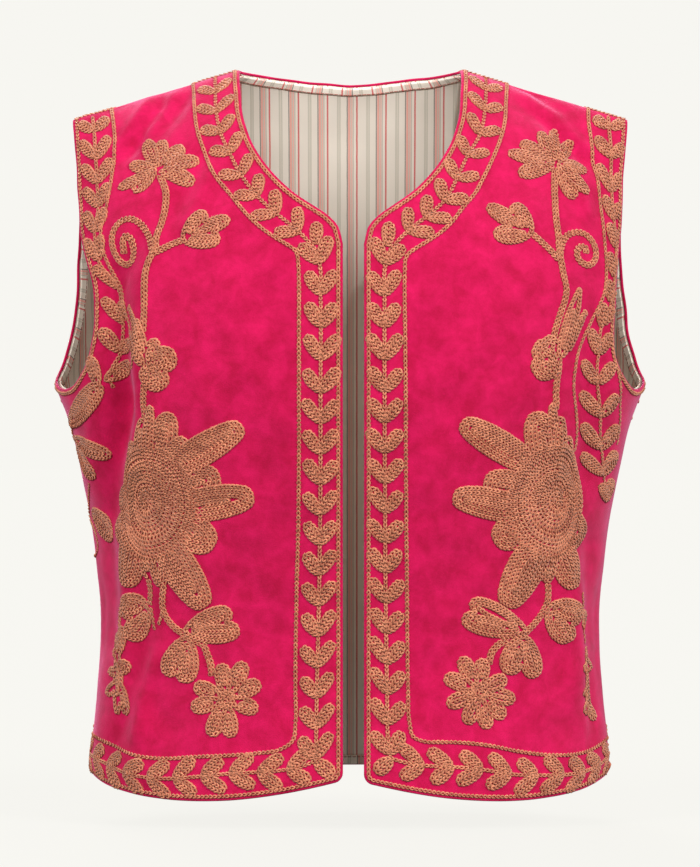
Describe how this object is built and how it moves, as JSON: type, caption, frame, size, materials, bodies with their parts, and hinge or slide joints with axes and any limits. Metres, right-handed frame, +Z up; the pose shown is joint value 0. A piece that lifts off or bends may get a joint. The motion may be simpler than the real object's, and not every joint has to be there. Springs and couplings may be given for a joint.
{
  "type": "embroidered waistcoat",
  "caption": "Sleeveless open-front velvet waistcoat with chain-stitch flowers, leafy borders and a striped cotton lining, in its worn hollow form.",
  "frame": {"origin": "midway between the two neck points, on the line of the shoulder seams, where the wearer's shoulders hold the waistcoat", "axes": "+Z up, -Y out of the front, +X to the wearer's left"},
  "size_m": [0.4262, 0.2147, 0.5196],
  "materials": {
    "velvet": "soft hot-pink cotton velvet, pale sheen at grazing angles, slightly mottled nap",
    "lining_cotton": "plain ecru cotton with narrow red, pink and grey stripes",
    "facing_cotton": "the lining's striped ecru cotton, cut into narrow topstitched strips",
    "embroidery_yarn": "dull camel two-ply yarn, raised chain stitch"
  },
  "bodies": {
    "root": {"front_right": "velvet", "front_left": "velvet", "back": "velvet", "lining_front_right": "lining_cotton", "lining_front_left": "lining_cotton", "lining_back": "lining_cotton", "neck_facing": "facing_cotton", "armhole_facing_right": "facing_cotton", "armhole_facing_left": "facing_cotton", "hem_facing": "facing_cotton"}
  },
  "joints": []
}
